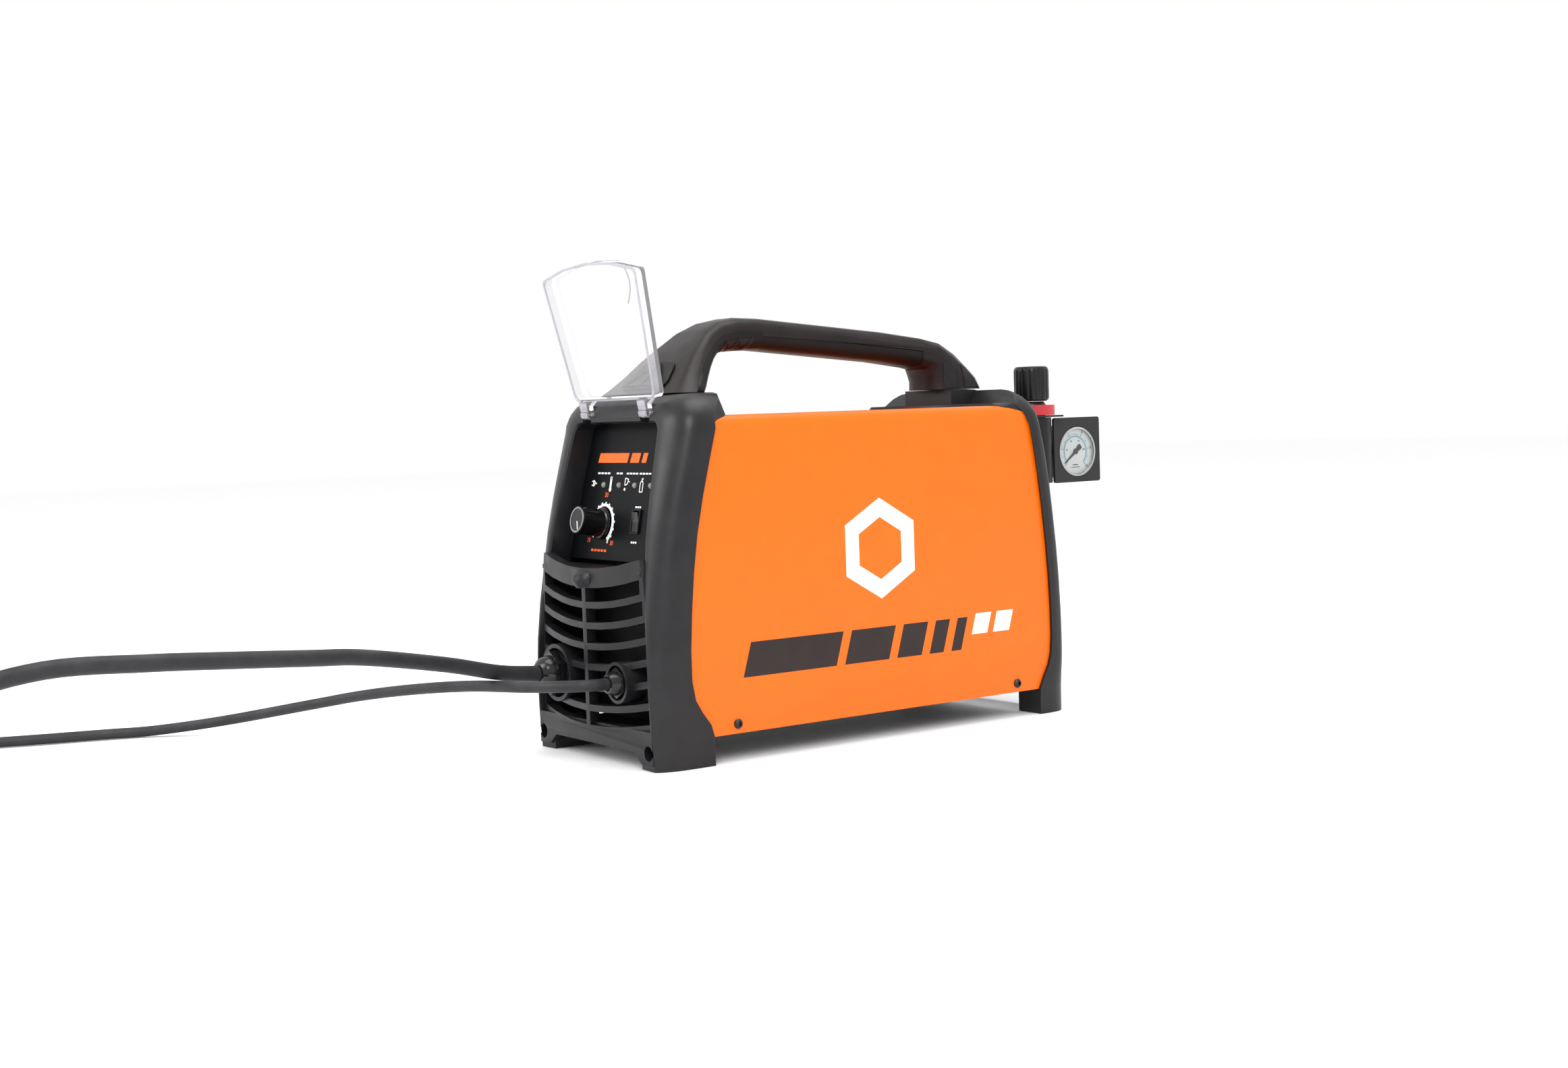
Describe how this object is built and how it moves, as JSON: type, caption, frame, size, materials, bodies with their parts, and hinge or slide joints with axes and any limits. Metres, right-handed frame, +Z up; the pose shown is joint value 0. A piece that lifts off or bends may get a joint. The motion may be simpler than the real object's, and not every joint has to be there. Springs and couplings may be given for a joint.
{
  "type": "plasma cutter",
  "caption": "Portable inverter plasma cutter with a carrying handle, louvred front, hinged clear panel lid, rear air regulator with gauge, and torch and work leads.",
  "frame": {"origin": "on the floor under the middle of the case and its rear gauge, leaving out the free leads", "axes": "+X to the side with the gauge's dial, +Y from the front louvres to the rear, +Z up"},
  "size_m": [0.5185, 1.2494, 0.3624],
  "materials": {
    "shell": "satin moulded plastic",
    "grip": "soft matt grip",
    "orange": "powder coat",
    "panel": "printed membrane",
    "black": "semi-gloss",
    "screw": "black oxide",
    "clear": "clear plastic",
    "led": "diffused lens, off",
    "sheet": "black powder coat",
    "steel": "bare",
    "needle": "matt",
    "dial": "printed card",
    "aluminium": "anodised",
    "collar": "semi-gloss",
    "brass": "bare",
    "coil": "varnished copper and ferrite",
    "board": "solder mask",
    "cord": "matt sheath",
    "torch": "satin",
    "clamp": "pressed steel"
  },
  "bodies": {
    "case": {"front_bezel": "shell", "rear_bezel": "shell", "cover": "orange", "base_tray": "sheet", "cover_screw_left_front": "screw", "cover_screw_left_rear": "screw", "cover_screw_right_front": "screw", "cover_screw_right_rear": "screw", "handle_shell": "shell", "handle_grip": "grip", "handle_inlay": "grip", "control_panel": "panel", "current_potentiometer": "steel", "status_led_1": "led", "status_led_2": "led", "status_led_3": "led", "status_led_4": "led", "test_rocker_frame": "black", "torch_gland_body": "black", "torch_gland_nut": "black", "work_gland_body": "black", "work_gland_nut": "black", "mains_gland": "black", "air_inlet": "brass", "power_switch_frame": "black", "fan_frame": "black", "fan_guard": "sheet", "rear_panel": "sheet", "regulator_body": "aluminium", "regulator_bracket": "sheet", "regulator_collar": "collar", "gauge_case": "black", "gauge_dial": "dial", "gauge_lens": "clear", "heat_sink": "aluminium", "power_board": "board", "transformer": "coil", "capacitor_1": "black", "capacitor_2": "black", "gas_valve": "brass", "torch_lead": "cord", "torch_lead_coil": "cord", "torch_lead_tail": "cord", "torch_body": "torch", "torch_cup": "steel", "torch_tip": "brass", "work_lead": "cord", "work_lead_coil": "cord", "work_lead_tail": "cord", "work_clamp_fixed_arm": "clamp", "work_clamp_pin": "steel"},
    "lid": {"lid": "clear"},
    "current_knob": {"current_knob": "black"},
    "test_rocker": {"test_rocker": "black"},
    "power_switch": {"power_switch": "black"},
    "fan_rotor": {"fan_rotor": "black"},
    "regulator_knob": {"regulator_knob": "black"},
    "gauge_needle": {"gauge_needle": "needle"},
    "torch_trigger": {"torch_trigger": "black"},
    "work_clamp_moving_arm": {"work_clamp_moving_arm": "clamp"}
  },
  "joints": [
    {"name": "lid_hinge", "type": "hinge", "parent": "case", "child": "lid", "pos_m": [0, -0.20295, 0.2515], "axis": [1, 0, 0], "range_deg": [0, 155.5]},
    {"name": "current_knob_turn", "type": "hinge", "parent": "case", "child": "current_knob", "pos_m": [-0.0256, -0.20345, 0.17], "axis": [0, -0.9799, 0.1994], "range_deg": [0, 300]},
    {"name": "test_rocker_tilt", "type": "hinge", "parent": "case", "child": "test_rocker", "pos_m": [0.022, -0.20195, 0.17235], "axis": [1, 0, 0], "range_deg": [-16, 0]},
    {"name": "power_switch_tilt", "type": "hinge", "parent": "case", "child": "power_switch", "pos_m": [-0.035, 0.12805, 0.2], "axis": [1, 0, 0], "range_deg": [0, 16]},
    {"name": "fan_spin", "type": "hinge", "parent": "case", "child": "fan_rotor", "pos_m": [0, 0.11155, 0.085], "axis": [0, 1, 0], "continuous": true},
    {"name": "regulator_knob_turn", "type": "hinge", "parent": "case", "child": "regulator_knob", "pos_m": [0.0243, 0.18755, 0.26], "axis": [0, 0, 1], "range_deg": [-720, 720]},
    {"name": "gauge_needle_turn", "type": "hinge", "parent": "case", "child": "gauge_needle", "pos_m": [0.0332, 0.22755, 0.207], "axis": [1, 0, 0], "range_deg": [-263, 7]},
    {"name": "trigger_press", "type": "hinge", "parent": "case", "child": "torch_trigger", "pos_m": [-0.225, -0.96195, 0.017], "axis": [0, 0, 1], "range_deg": [0, 5], "stiffness_Nm_per_rad": 0.4, "springref_deg": -4.58},
    {"name": "clamp_open", "type": "hinge", "parent": "case", "child": "work_clamp_moving_arm", "pos_m": [-0.215, -0.75795, 0.014], "axis": [0, 0, 1], "range_deg": [-15, 0], "stiffness_Nm_per_rad": 2, "springref_deg": 8.59}
  ]
}
